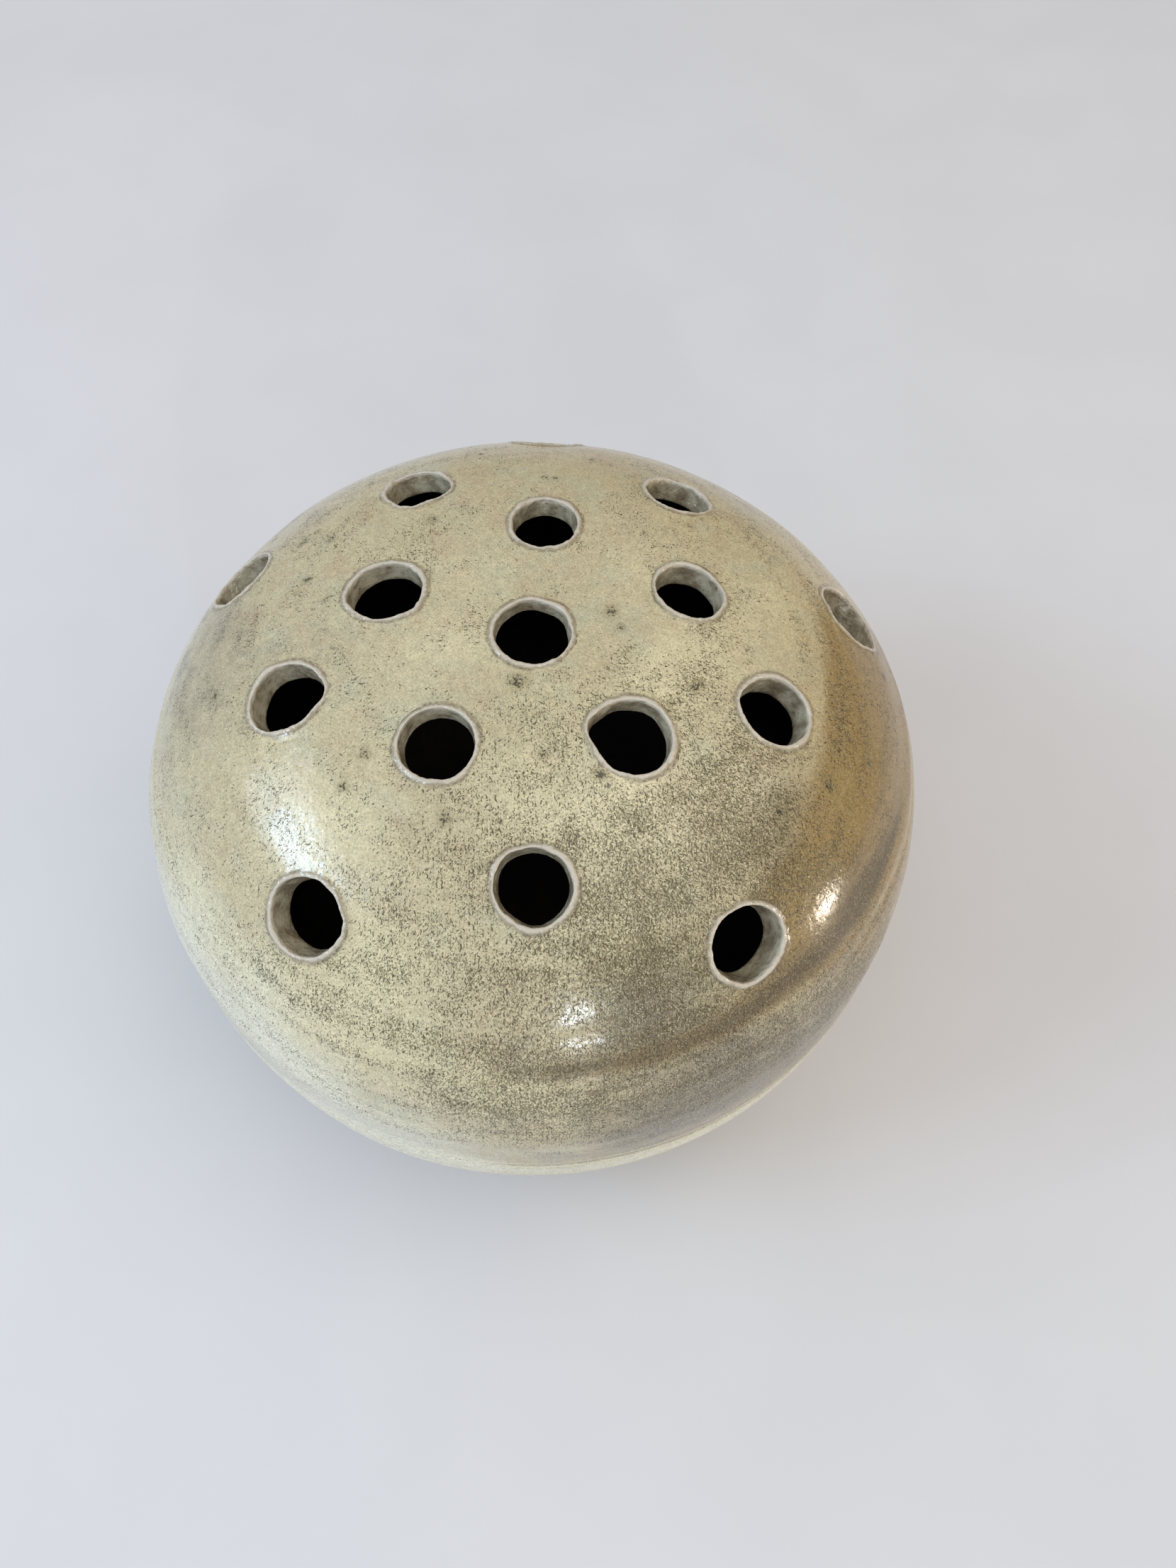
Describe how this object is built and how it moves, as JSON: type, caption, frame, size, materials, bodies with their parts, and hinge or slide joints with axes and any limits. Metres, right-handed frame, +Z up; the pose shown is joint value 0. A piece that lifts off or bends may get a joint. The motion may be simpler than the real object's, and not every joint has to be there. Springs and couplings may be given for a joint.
{
  "type": "flower frog",
  "caption": "Squat closed stoneware vase whose dome is pierced with stem holes, so it holds cut flowers apart over a water reservoir.",
  "frame": {"origin": "centre of the foot ring's underside, on the surface the vase stands on", "axes": "+Z up along the vase's axis, the front of the vase faces -Y, +X is its right seen from the front"},
  "size_m": [0.18, 0.18, 0.1352],
  "materials": {
    "ash_glaze": "satin yellow-green ash glaze with fine dark iron specks",
    "lip_glaze": "smooth satin pinkish grey, glaze thinned over a rounded lip",
    "bare_clay": "unglazed toasted stoneware"
  },
  "bodies": {
    "root": {"foot_ring": "bare_clay", "lower_bowl": "ash_glaze", "pierced_dome": "ash_glaze", "hole_lip_centre": "lip_glaze", "hole_lip_inner_back": "lip_glaze", "hole_lip_inner_left_back": "lip_glaze", "hole_lip_inner_left_front": "lip_glaze", "hole_lip_inner_right_back": "lip_glaze", "hole_lip_inner_right_front": "lip_glaze", "hole_lip_middle_front": "lip_glaze", "hole_lip_middle_left": "lip_glaze", "hole_lip_middle_left_back": "lip_glaze", "hole_lip_middle_right": "lip_glaze", "hole_lip_middle_right_back": "lip_glaze", "hole_lip_outer_back": "lip_glaze", "hole_lip_outer_left_back": "lip_glaze", "hole_lip_outer_left_front": "lip_glaze", "hole_lip_outer_right_back": "lip_glaze", "hole_lip_outer_right_front": "lip_glaze"}
  },
  "joints": []
}
